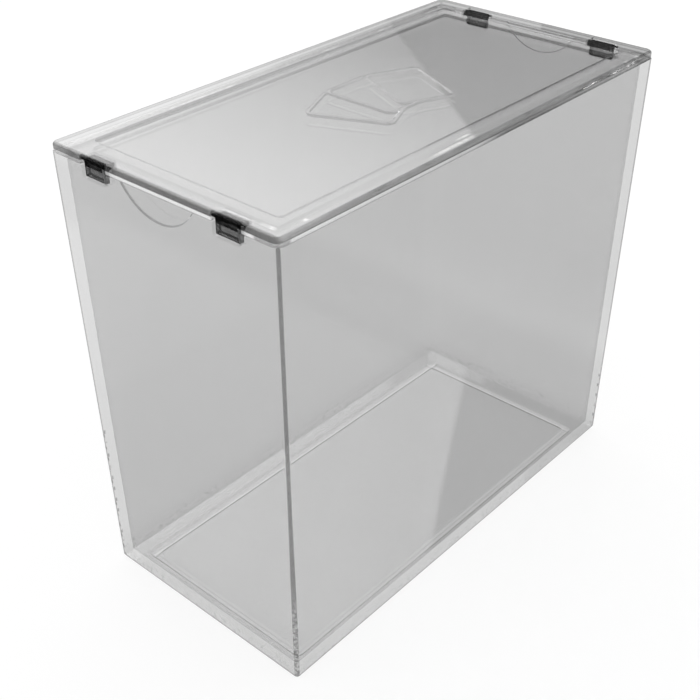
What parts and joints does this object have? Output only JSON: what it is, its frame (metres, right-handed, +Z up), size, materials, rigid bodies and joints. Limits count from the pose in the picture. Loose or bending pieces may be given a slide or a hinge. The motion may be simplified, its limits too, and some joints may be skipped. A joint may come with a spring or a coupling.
{
  "type": "card box protector",
  "caption": "Clear display case for a boxed card set, with a lift-off lid held by smoked corner clips and a rib below for stacking.",
  "frame": {"origin": "middle of the base, on the surface that the stacking rib stands on", "axes": "+X along the long side, +Y across the case towards the rear wall, +Z up towards the lid"},
  "size_m": [0.2004, 0.1006, 0.176],
  "materials": {
    "clear_plastic": "clear, polished moulding",
    "lid_plastic": "clear, polished moulding",
    "smoked_plastic": "smoked, near black, polished"
  },
  "bodies": {
    "case": {"case": "clear_plastic"},
    "lid": {"lid": "lid_plastic"},
    "clip_left_front": {"clip_left_front": "smoked_plastic"},
    "clip_left_rear": {"clip_left_rear": "smoked_plastic"},
    "clip_right_front": {"clip_right_front": "smoked_plastic"},
    "clip_right_rear": {"clip_right_rear": "smoked_plastic"}
  },
  "joints": [
    {"name": "lid_lift", "type": "slide", "parent": "case", "child": "lid", "axis": [0, 0, 1], "range_m": [0, 0.19]},
    {"name": "clip_left_front_hinge", "type": "hinge", "parent": "lid", "child": "clip_left_front", "pos_m": [-0.0983, -0.0294, 0.17375], "axis": [0, 1, 0], "range_deg": [0, 90]},
    {"name": "clip_left_rear_hinge", "type": "hinge", "parent": "lid", "child": "clip_left_rear", "pos_m": [-0.0983, 0.0294, 0.17375], "axis": [0, 1, 0], "range_deg": [0, 90]},
    {"name": "clip_right_front_hinge", "type": "hinge", "parent": "lid", "child": "clip_right_front", "pos_m": [0.0983, -0.0294, 0.17375], "axis": [0, -1, 0], "range_deg": [0, 90]},
    {"name": "clip_right_rear_hinge", "type": "hinge", "parent": "lid", "child": "clip_right_rear", "pos_m": [0.0983, 0.0294, 0.17375], "axis": [0, -1, 0], "range_deg": [0, 90]}
  ]
}
